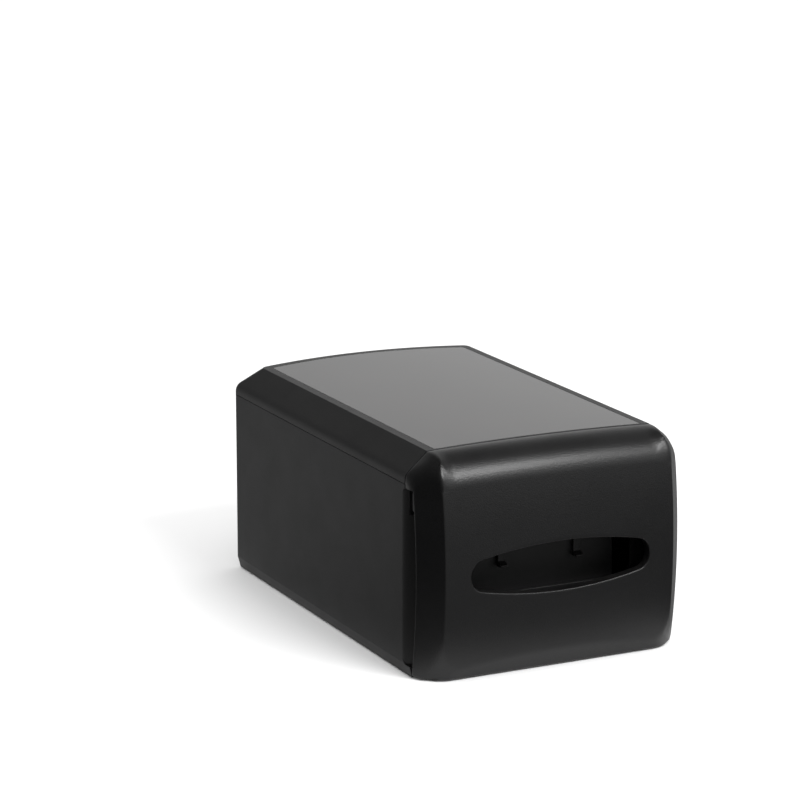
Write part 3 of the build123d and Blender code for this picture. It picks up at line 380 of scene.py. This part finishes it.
# ---------------------------------------------------------------------------
# front bezel: one smooth moulding with rounded creases, a rolled top and a lipped slot
# ---------------------------------------------------------------------------
HALF_WIDTH = 100.0
TOP_EDGE = 152.3
CROWN = 1.7
CHAMFER_X, CHAMFER_Z = 84.0, 138.0
BULGE_Y, BULGE_Z, BULGE_RADIUS = 231.7, 70.0, 394.0
FACE_BOW = 2.0
FACE_HALF = 86.0
BEVEL_SLOPE = 17.6 / 14.0
REAR_RADIUS = 376.4
REAR_Y = -131.0
GROOVE_TOP = 129.0
LOW_Z = 1.0
LOW_BEVEL_Y, LOW_BEVEL_RUN, LOW_BEVEL_RISE = -154.7, 5.0, 11.4
LOW_CORNER = 4.5
FRAME_LOW = 8.6
FRAME_CORNER = 8.0
ROLL = 20.0
SHOULDER_TIGHTENING = 13.0
SHOULDER_X, SHOULDER_SPAN = 76.0, 16.0
EDGE_LOW_Z, EDGE_SPAN = 125.0, 9.0
EDGE_RADIUS, EDGE_RADIUS_GAIN = 1.0, 1.6
GROOVE_EDGE_RADIUS, COVER_EDGE_RADIUS = 1.6, 0.5
CREASE = 0.45
BEZEL_WALL = 2.8
SLOT_Z = 72.2
SLOT_HALF_WIDTH, SLOT_SHOULDER = 67.3, 61.0
SLOT_HALF_HEIGHT, SLOT_END_HEIGHT = 16.9, 10.4
SLOT_BACK_Y = -156.0
SLOT_LIP = 1.6
SLOT_EDGE = 0.8
RIM_INSET = 2.3
RIM_START, RIM_START_GROOVE = 0.3, 1.5
RIM_RETURN = 2.0


def meet(a, b, radius):
    """Two outer faces, given by their signed distances, joined by a rounded edge."""
    return min(max(a, b), -radius) + math.hypot(max(a + radius, 0.0), max(b + radius, 0.0))


def crown_height(x):
    return TOP_EDGE + CROWN * (1.0 - min(1.0, abs(x) / CHAMFER_X) ** 2)


def face_radius(x):
    """Distance of the sharp face or side bevel from the bulge axis."""
    if abs(x) > FACE_HALF:
        return BULGE_RADIUS - (abs(x) - FACE_HALF) * BEVEL_SLOPE
    return BULGE_RADIUS + FACE_BOW * (1.0 - (x / FACE_HALF) ** 2)


def sharp_front(x, z):
    """Station of the front surface before its creases are rounded."""
    swung = BULGE_Y - math.sqrt(face_radius(x) ** 2 - (z - BULGE_Z) ** 2)
    return max(swung, LOW_BEVEL_Y - (z - LOW_Z) * LOW_BEVEL_RUN / LOW_BEVEL_RISE)


def rear_station(z):
    """Where the bezel stops against the groove or, higher up, against the cover."""
    if z > GROOVE_TOP:
        return REAR_Y
    return BULGE_Y - math.sqrt(REAR_RADIUS ** 2 - (z - BULGE_Z) ** 2)


def bezel_field(x, y, z):
    """Signed distance outside the moulding's outer skin and its rear edge."""
    reach = abs(x)
    swing = math.hypot(y - BULGE_Y, z - BULGE_Z)
    slope = math.hypot(1.0, BEVEL_SLOPE)
    face = swing - BULGE_RADIUS - FACE_BOW * (1.0 - (reach / FACE_HALF) ** 2)
    side_bevel = ((reach - FACE_HALF) * BEVEL_SLOPE + swing - BULGE_RADIUS) / slope
    low_bevel = (-(y - LOW_BEVEL_Y) * LOW_BEVEL_RISE - (z - LOW_Z) * LOW_BEVEL_RUN) / math.hypot(
        LOW_BEVEL_RISE, LOW_BEVEL_RUN)
    frame_ring = meet(side_bevel, low_bevel, FRAME_CORNER)
    run, rise = HALF_WIDTH - CHAMFER_X, TOP_EDGE - CHAMFER_Z
    chamfer = ((reach - CHAMFER_X) * rise + (z - TOP_EDGE) * run) / math.hypot(run, rise)
    top = meet(z - crown_height(x), chamfer, CREASE)
    shoulder = min(1.0, max(0.0, (reach - SHOULDER_X) / SHOULDER_SPAN))
    roll = ROLL - SHOULDER_TIGHTENING * shoulder * shoulder * (3.0 - 2.0 * shoulder)
    skin = meet(meet(face, frame_ring, CREASE), top, roll)
    upper = min(1.0, max(0.0, (z - EDGE_LOW_Z) / EDGE_SPAN))
    sides = meet(reach - HALF_WIDTH, LOW_Z - z, LOW_CORNER)
    skin = meet(skin, sides, EDGE_RADIUS + EDGE_RADIUS_GAIN * upper)
    if z > GROOVE_TOP:
        return meet(skin, y - REAR_Y, COVER_EDGE_RADIUS)
    return meet(skin, REAR_RADIUS - swing, GROOVE_EDGE_RADIUS)


def field_slope(point):
    """Gradient of the bezel's field."""
    step = 0.02
    here = bezel_field(*point)
    return here, Vector([(bezel_field(*(point + axis * step)) - here) / step for axis in AXES])


def settle(point, weights):
    """Moves a point on to the rounded skin, along the axes that the weights leave free."""
    for _ in range(5):
        value, slope = field_slope(point)
        slope = Vector([s * w for s, w in zip(slope, weights)])
        if slope.length_squared < 1e-6 or abs(value) < 1e-3:
            break
        point = point - slope * (value / slope.length_squared)
    return point


def bezel_outline():
    """Right half of the outline seen from the front, bottom centre to top centre, with outward normals."""
    points = [(3.0 * k, LOW_Z, 0.0, -1.0) for k in range(30)]
    for k in range(11):
        turn = math.radians(-90.0 + 9.0 * k)
        points.append((HALF_WIDTH - LOW_CORNER + LOW_CORNER * math.cos(turn),
                       LOW_Z + LOW_CORNER + LOW_CORNER * math.sin(turn), math.cos(turn), math.sin(turn)))
    first = LOW_Z + LOW_CORNER
    points += [(HALF_WIDTH, first + (GROOVE_TOP - 0.2 - first) * k / 40, 1.0, 0.0) for k in range(1, 41)]
    first = GROOVE_TOP + 0.2
    points += [(HALF_WIDTH, first + (CHAMFER_Z - first) * k / 9, 1.0, 0.0) for k in range(10)]
    lean = math.atan2(HALF_WIDTH - CHAMFER_X, TOP_EDGE - CHAMFER_Z)
    for k in range(1, 17):
        part = k / 16
        x = HALF_WIDTH + (CHAMFER_X - HALF_WIDTH) * part
        points.append((x, CHAMFER_Z + (TOP_EDGE - CHAMFER_Z) * part, math.cos(lean), math.sin(lean)))
    for k in range(1, 33):
        x = CHAMFER_X * (1.0 - k / 32) ** 1.15
        points.append((x, crown_height(x), 0.0, 1.0))
    return points


def slot_point(angle, margin):
    """Where a ray from the middle of the slot leaves its outline, with a margin."""
    across, up = abs(math.cos(angle)), abs(math.sin(angle))
    end_z, mid_z, end_x = SLOT_END_HEIGHT + margin, SLOT_HALF_HEIGHT + margin, SLOT_HALF_WIDTH + margin
    if up * SLOT_SHOULDER < across * end_z:
        bow = end_x - SLOT_SHOULDER
        radius = (end_z ** 2 + bow ** 2) / (2 * bow)
        centre = (end_x - radius) * across
        offset = end_x - radius
    else:
        bow = mid_z - end_z
        radius = (SLOT_SHOULDER ** 2 + bow ** 2) / (2 * bow)
        centre = (mid_z - radius) * up
        offset = mid_z - radius
    reach = centre + math.sqrt(centre ** 2 - offset ** 2 + radius ** 2)
    return reach * math.cos(angle), SLOT_Z + reach * math.sin(angle)


def frame_crossing(outer, inner):
    """Part of the way from the outline to the slot at which the face's frame is crossed."""
    low, high = 0.0, 1.0
    for _ in range(24):
        middle = (low + high) / 2
        x = outer[0] + (inner[0] - outer[0]) * middle
        z = outer[1] + (inner[1] - outer[1]) * middle
        if max(meet(abs(x) - FACE_HALF, FRAME_LOW - z, FRAME_CORNER), z - (TOP_EDGE - ROLL - 2.0)) > 0:
            low = middle
        else:
            high = middle
    return high


def bezel_column(x, z, normal_x, normal_z):
    """Closed section of the moulding from its rear edge over the front to the slot and back inside."""
    beside_groove = normal_z < 0.9 and z < GROOVE_TOP and normal_x > 0.2
    blend = normal_x if beside_groove else 0.0
    inset = BEZEL_WALL + RIM_INSET * blend
    rear = rear_station(z)
    edge = Vector((x, rear, z))
    inward = Vector((-normal_x, 0.0, -normal_z))
    angle = math.atan2(z - SLOT_Z, x)
    inner = slot_point(angle, SLOT_EDGE)
    corner = Vector((x, min(sharp_front(x, z), rear), z))
    start = edge + inward * (RIM_START_GROOVE * blend + RIM_START * (1.0 - blend))
    rim = edge + inward * inset
    rows = [start + (rim - start) * (1 - k / 3) for k in range(1, 4)]
    rows += [start.lerp(corner, k / 12) for k in range(1, 13)]
    share = frame_crossing((x, z), inner)
    for k in range(1, 19):
        part = share * 0.5 * (1.0 - math.cos(math.pi * k / 18))
        px, pz = x + (inner[0] - x) * part, z + (inner[1] - z) * part
        rows.append(Vector((px, sharp_front(px, pz), pz)))
    for k in range(1, 27):
        part = share + (1.0 - share) * (k / 26) ** 1.3
        px, pz = x + (inner[0] - x) * part, z + (inner[1] - z) * part
        rows.append(Vector((px, sharp_front(px, pz), pz)))
    outer = [settle(p, (1.0, 1.0, 1.0)) for p in rows[:-1]] + [settle(rows[-1], (0.0, 1.0, 0.0))]
    section = [rim] + outer
    mouth_y = outer[-1].y
    for k in range(1, 5):
        turn = math.radians(22.5 * k)
        px, pz = slot_point(angle, SLOT_EDGE * (1.0 - math.sin(turn)))
        section.append(Vector((px, mouth_y + SLOT_EDGE * (1.0 - math.cos(turn)), pz)))
    for station, margin in ((mouth_y + 3.0, 0.0), (SLOT_BACK_Y - 0.5, 0.0), (SLOT_BACK_Y, 0.4),
                            (SLOT_BACK_Y, SLOT_LIP - 0.4), (SLOT_BACK_Y - 0.5, SLOT_LIP),
                            (mouth_y + BEZEL_WALL + 0.3, SLOT_LIP)):
        px, pz = slot_point(angle, margin)
        section.append(Vector((px, station, pz)))
    for index in list(range(len(outer) - 6, 20, -4)) + [18]:
        _, slope = field_slope(outer[index])
        section.append(outer[index] - slope.normalized() * BEZEL_WALL)
    section.append(rim - AXES[1] * RIM_RETURN)
    return section


def front_bezel_piece():
    """The bezel's skin, swept as one ring of sections round the slot."""
    half = bezel_outline()
    right = [bezel_column(*entry) for entry in half]
    left = [[Vector((-p.x, p.y, p.z)) for p in section] for section in reversed(right[1:-1])]
    form = bmesh.new()
    rings = [[form.verts.new(p * MM) for p in section] for section in right + left]
    for here, after in zip(rings, rings[1:] + rings[:1]):
        join_rings(form, here, after)
    return finished(form, "front_bezel_skin", "body", "bezel_plastic", sharp=38.0)


# ---------------------------------------------------------------------------
# springs: the wound coil, its strip and the two latch springs
# ---------------------------------------------------------------------------
BAND_FLAT = 0.96
BAND_CROWN = 1.3


def swept_strip(form, points, across, half_width, thickness):
    """Flat band along a line of points lying square to the direction across."""
    rings = []
    for k, point in enumerate(points):
        ahead = (points[min(k + 1, len(points) - 1)] - points[max(k - 1, 0)]).normalized()
        out = across.cross(ahead).normalized() * (thickness / 2)
        side = across * half_width
        rings.append([form.verts.new(point + a + b) for a, b in
                      ((side, out), (side * BAND_FLAT, out * BAND_CROWN),
                       (side * -BAND_FLAT, out * BAND_CROWN), (-side, out), (-side, -out),
                       (side * -BAND_FLAT, out * -BAND_CROWN), (side * BAND_FLAT, out * -BAND_CROWN),
                       (side, -out))])
    skin_rings(form, rings)


COIL_BAND = 0.35 * MM
COIL_INNER = 8.2 * MM
COIL_TURNS = 7
COIL_STEPS = 40
STRIP_PITCH = 1.5 * MM
WIRE_RADIUS = 0.38 * MM
SPRING_TURNS = 6
SPRING_STEPS = 22
WIRE_SIDES = 8
DEAD_TURN = 0.6


def wound_coil():
    """Constant-force spring wound in a spiral on the drum."""
    low, high = (Vector(corner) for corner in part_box("spring_coil"))
    centre = (low + high) / 2
    outer = (high.z - low.z) / 2 - COIL_BAND
    count = COIL_TURNS * COIL_STEPS
    points = []
    for k in range(count + 1):
        turn = -math.pi / 2 + 2 * math.pi * k / COIL_STEPS
        reach = outer - (outer - COIL_INNER) * k / count
        points.append(centre + Vector((0.0, reach * math.cos(turn), reach * math.sin(turn))))
    form = bmesh.new()
    swept_strip(form, points, ACROSS, (high.x - low.x) / 2, COIL_BAND)
    return finished(form, "wound_spring_coil", "spool", "spring_steel")


def flat_strip():
    """Strip that the coil pays out along the rail; it lengthens as the pusher goes back."""
    low, high = (Vector(corner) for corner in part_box("spring_strip"))
    centre = (low + high) / 2
    steps = round((high.y - low.y) / STRIP_PITCH)
    points = [Vector((centre.x, low.y + (high.y - low.y) * k / steps, centre.z)) for k in range(steps + 1)]
    form = bmesh.new()
    swept_strip(form, points, ACROSS, (high.x - low.x) / 2, (high.z - low.z) / BAND_CROWN)
    piece = finished(form, "flat_spring_strip", None, "spring_steel")
    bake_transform(piece)
    return piece


def latch_coil(side):
    """Round-wire compression spring between the shell and a latch plunger."""
    node = "latch_spring_" + side
    low, high = (Vector(corner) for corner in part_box(node))
    centre = (low + high) / 2
    reach = (high.z - low.z) / 2 - WIRE_RADIUS
    count = SPRING_TURNS * SPRING_STEPS
    length = high.x - low.x - 2 * WIRE_RADIUS
    form = bmesh.new()
    rings = []
    for k in range(count + 1):
        turn = 2 * math.pi * k / SPRING_STEPS
        dead = SPRING_STEPS * DEAD_TURN
        ground = min(1.0, max(0.0, (k - dead) / (count - 2 * dead)))
        place_x = low.x + WIRE_RADIUS + length * ground
        spoke = Vector((0.0, math.cos(turn), math.sin(turn)))
        middle = Vector((place_x, centre.y, centre.z)) + spoke * reach
        rings.append([form.verts.new(middle + spoke * (WIRE_RADIUS * math.cos(a)) +
                                     Vector((WIRE_RADIUS * math.sin(a), 0.0, 0.0)))
                      for a in (2 * math.pi * j / WIRE_SIDES for j in range(WIRE_SIDES))])
    skin_rings(form, rings)
    piece = finished(form, "coil_spring_" + side, None, "spring_steel")
    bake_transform(piece)
    return piece


# ---------------------------------------------------------------------------
# what stands behind the bezel's skin: groove roofs, screw posts and groove ramps
# ---------------------------------------------------------------------------
def rounded_block(form, low, high, radius):
    """Block with softened edges added to mesh work."""
    made = bmesh.ops.create_cube(form, size=1.0)["verts"]
    size = [b - a for a, b in zip(low, high)]
    middle = [(a + b) / 2 for a, b in zip(low, high)]
    bmesh.ops.scale(form, vec=size, verts=made)
    bmesh.ops.translate(form, vec=middle, verts=made)
    edges = list({edge for vert in made for edge in vert.link_edges})
    bmesh.ops.bevel(form, geom=edges, offset=radius, segments=2, profile=0.7, affect="EDGES")


ROOF_SPAN = (92.4, 98.8)
ROOF_REACH = 10.0
ROOF_THICKNESS = 2.0


def groove_roofs():
    """Ledge over each finger groove, carried by the bezel."""
    form = bmesh.new()
    for side in (-1, 1):
        ends = sorted(side * x * MM for x in ROOF_SPAN)
        rounded_block(form, (ends[0], (REAR_Y - ROOF_REACH) * MM, GROOVE_TOP * MM),
                      (ends[1], REAR_Y * MM, (GROOVE_TOP + ROOF_THICKNESS) * MM), 0.4 * MM)
    return finished(form, "groove_roofs", "body", "bezel_plastic")


POST_PLACES = ((-66.0, 118.0), (66.0, 118.0), (-80.0, 20.0), (80.0, 20.0))
POST_RADIUS = 4.0
POST_BACK_Y = -131.8
POST_SINK = 0.8
POST_TURNS = [math.radians(15 * j) for j in range(24)]


def bezel_posts():
    """Screw posts from the inside of the face back to the mouth plate, with a fillet at the root."""
    form = bmesh.new()
    for x, z in POST_PLACES:
        root = sharp_front(x, z) + BEZEL_WALL - POST_SINK
        profile = [(POST_RADIUS + 1.5, root), (POST_RADIUS + 0.6, root + 1.2),
                   (POST_RADIUS + 0.1, root + 3.0),
                   (POST_RADIUS, POST_BACK_Y - 0.4), (POST_RADIUS - 0.4, POST_BACK_Y), (1.6, POST_BACK_Y),
                   (1.4, POST_BACK_Y - 6.0), (0.1, POST_BACK_Y - 6.6)]
        rings = []
        for radius, station in profile:
            ring = [Vector((x + radius * math.cos(a), station, z + radius * math.sin(a)))
                    for a in POST_TURNS]
            rings.append([form.verts.new(point * MM) for point in ring])
        skin_rings(form, rings)
    return finished(form, "bezel_screw_posts", "body", "bezel_plastic")


RAMP_FRONT_Y = -137.2
RAMP_BACK_Y = -127.2
RAMP_DEPTH = 5.45
RAMP_BACKING = 0.3
RAMP_STEP_Z = 111.0
RAMP_SPANS = ((8.0, RAMP_STEP_Z, RAMP_FRONT_Y), (RAMP_STEP_Z, GROOVE_TOP, -133.0))


def groove_ramps():
    """Rounded lead-in from each side wall to the floor of its finger groove, cut back beside the latch."""
    form = bmesh.new()
    for side in (-1, 1):
        for low, high, front in RAMP_SPANS:
            section = []
            for k in range(13):
                station = RAMP_BACK_Y + (front - RAMP_BACK_Y) * k / 12
                part = (station - RAMP_BACK_Y) / (RAMP_FRONT_Y - RAMP_BACK_Y)
                section.append((HALF_WIDTH - RAMP_DEPTH * part ** 1.6, station))
            backing = HALF_WIDTH - RAMP_DEPTH - RAMP_BACKING
            section += [(backing, front), (backing, RAMP_BACK_Y)]
            levels = [low + (high - low) * k / 8 for k in range(9)]
            rings = [[form.verts.new(Vector((side * x, y, level)) * MM) for x, y in section]
                     for level in levels]
            skin_rings(form, rings)
    return finished(form, "groove_ramps", "body", "shell_plastic", sharp=50.0)


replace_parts(front_bezel_piece(), "front_bezel")
groove_roofs()
bezel_posts()
groove_ramps()
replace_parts(wound_coil(), "spring_coil")
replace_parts(flat_strip(), "spring_strip")
for side in ("left", "right"):
    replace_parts(latch_coil(side), "latch_spring_" + side)

# ---------------------------------------------------------------------------
# stage: floor, lights and camera
# ---------------------------------------------------------------------------
FLOOR_SIZE = 14.0
FLOOR_WHITE = (0.86, 0.86, 0.86, 1.0)
# floor colour seen only in reflections: painted reflection levels, with painted shade to the left and a
# painted bright strip in front
FLOOR_PAINTED_REFLECTION = 0.28
FLOOR_PAINTED_REFLECTION_AHEAD = 0.15
FLOOR_PAINTED_REFLECTION_LEFT = 0.02
FLOOR_PAINTED_REFLECTION_FRONT = 0.50
FLOOR_PAINTED_REFLECTION_RIGHT = 0.25
ROOM_LIGHT = 1.2
ROOM_LEFT = 0.22
ROOM_RIGHT = 0.79
ROOM_OVERHEAD = 0.25
SOFTBOX_PLACE, SOFTBOX_TARGET = (0.31, -1.15, 1.16), (0.0, -0.15, 0.13)
SOFTBOX_SIZE, SOFTBOX_WATTS = (0.72, 0.35), 19.0


def pale_floor():
    """Plain pale floor that the feet stand on; in reflections its colour is a painted reflection map: painted
    shade, nearly black, to the left, a painted bright strip under the object's front edge, and dimmer ahead
    and to the front right.
    """
    mesh = bpy.data.meshes.new("floor")
    form = bmesh.new()
    bmesh.ops.create_grid(form, x_segments=2, y_segments=2, size=FLOOR_SIZE / 2)
    form.to_mesh(mesh)
    form.free()
    floor = bpy.data.objects.new("floor", mesh)
    bpy.context.collection.objects.link(floor)
    material, tree, shader = blank("pale_floor")
    spot = tree.nodes.new("ShaderNodeSeparateXYZ")
    tree.links.new(tree.nodes.new("ShaderNodeTexCoord").outputs["Object"], spot.inputs[0])
    across, along = spot.outputs["X"], spot.outputs["Y"]
    # painted shade: in reflections the floor turns nearly black to the left of the object
    left = product(tree, ranged(tree, across, -0.105, -0.24, 0.0, 1.0),
                   ranged(tree, along, 0.20, -0.05, 0.0, 1.0))
    # painted highlight: a bright strip under the object's front edge for the bottom bevel to reflect
    front = product(tree, ranged(tree, along, -0.215, -0.172, 0.0, 1.0),
                    ranged(tree, across, -0.13, -0.10, 0.0, 1.0), ranged(tree, across, 0.13, 0.10, 0.0, 1.0))
    plain = ranged(tree, along, -0.20, 0.0, FLOOR_PAINTED_REFLECTION_AHEAD, FLOOR_PAINTED_REFLECTION)
    fade = product(tree, ranged(tree, across, 0.0, 0.40, 0.0, 1.0),
                   ranged(tree, along, -0.10, -0.30, 0.0, 1.0))
    plain = product(tree, plain, ranged(tree, fade, 0.0, 1.0, 1.0, FLOOR_PAINTED_REFLECTION_RIGHT))
    painted_reflection_level = math_node(tree, "MULTIPLY", plain, ranged(tree, left, 0.0, 1.0, 1.0, FLOOR_PAINTED_REFLECTION_LEFT))
    painted_reflection_level = math_node(tree, "ADD", painted_reflection_level, math_node(tree, "MULTIPLY", front, FLOOR_PAINTED_REFLECTION_FRONT))
    painted_reflection_colour = tree.nodes.new("ShaderNodeCombineColor")
    for channel in painted_reflection_colour.inputs[:3]:
        tree.links.new(painted_reflection_level, channel)
    # only reflections see the painted reflection map; the camera sees plain white
    mirrored = tree.nodes.new("ShaderNodeLightPath").outputs["Is Glossy Ray"]
    tree.links.new(blend_colour(tree, FLOOR_WHITE, painted_reflection_colour.outputs[0], mirrored), shader.inputs["Base Color"])
    shader.inputs["Roughness"].default_value = 0.9
    shader.inputs["Specular IOR Level"].default_value = 0.05
    mesh.materials.append(material)


def softbox(name, centre, target, width, height, watts):
    """Rectangular studio light aimed at a point."""
    light = bpy.data.lights.new(name, "AREA")
    light.shape = "RECTANGLE"
    light.size = width
    light.size_y = height
    light.energy = watts
    lamp = bpy.data.objects.new(name, light)
    lamp.location = centre
    lamp.rotation_euler = (Vector(target) - Vector(centre)).to_track_quat("-Z", "Y").to_euler()
    bpy.context.collection.objects.link(lamp)


def studio_world():
    """Pale surroundings; reflections see a bright wall behind on the right and a dimmer room elsewhere."""
    world = bpy.data.worlds.new("studio")
    world.use_nodes = True
    tree = world.node_tree
    spot = tree.nodes.new("ShaderNodeSeparateXYZ")
    tree.links.new(tree.nodes.new("ShaderNodeTexCoord").outputs["Generated"], spot.inputs[0])
    wall = product(tree, ranged(tree, spot.outputs["X"], -0.15, 0.40, ROOM_LEFT, ROOM_RIGHT),
                   ranged(tree, spot.outputs["X"], -0.85, -0.45, 0.05, 1.0),
                   ranged(tree, spot.outputs["Z"], 0.35, 0.80, 1.0, ROOM_OVERHEAD))
    mirrored = tree.nodes.new("ShaderNodeLightPath").outputs["Is Glossy Ray"]
    strength = tree.nodes.new("ShaderNodeMix")
    tree.links.new(mirrored, strength.inputs[0])
    strength.inputs[2].default_value = ROOM_LIGHT
    tree.links.new(wall, strength.inputs[3])
    background = tree.nodes["Background"]
    background.inputs["Color"].default_value = (1.0, 1.0, 1.0, 1.0)
    tree.links.new(strength.outputs[0], background.inputs["Strength"])
    bpy.context.scene.world = world


CAMERA_YAW = math.radians(26.11)
CAMERA_PITCH = math.radians(13.65)
CAMERA_PLACE = (-0.9856, -1.9305, 0.6753)
CAMERA_LENS = 143.2
CAMERA_SENSOR = 36.0
CAMERA_REACH = 50.0


def studio_camera():
    """Camera in front, to the left and a little above."""
    data = bpy.data.cameras.new("camera")
    data.lens = CAMERA_LENS
    data.sensor_width = CAMERA_SENSOR
    data.clip_end = CAMERA_REACH
    camera = bpy.data.objects.new("camera", data)
    ahead = Vector((math.sin(CAMERA_YAW) * math.cos(CAMERA_PITCH),
                    math.cos(CAMERA_YAW) * math.cos(CAMERA_PITCH), -math.sin(CAMERA_PITCH)))
    camera.location = CAMERA_PLACE
    camera.rotation_euler = ahead.to_track_quat("-Z", "Y").to_euler()
    bpy.context.collection.objects.link(camera)
    bpy.context.scene.camera = camera


pale_floor()
studio_world()
softbox("overhead_softbox", SOFTBOX_PLACE, SOFTBOX_TARGET, *SOFTBOX_SIZE, SOFTBOX_WATTS)
studio_camera()
bpy.context.scene.view_settings.view_transform = "Standard"

bpy.context.view_layer.update()
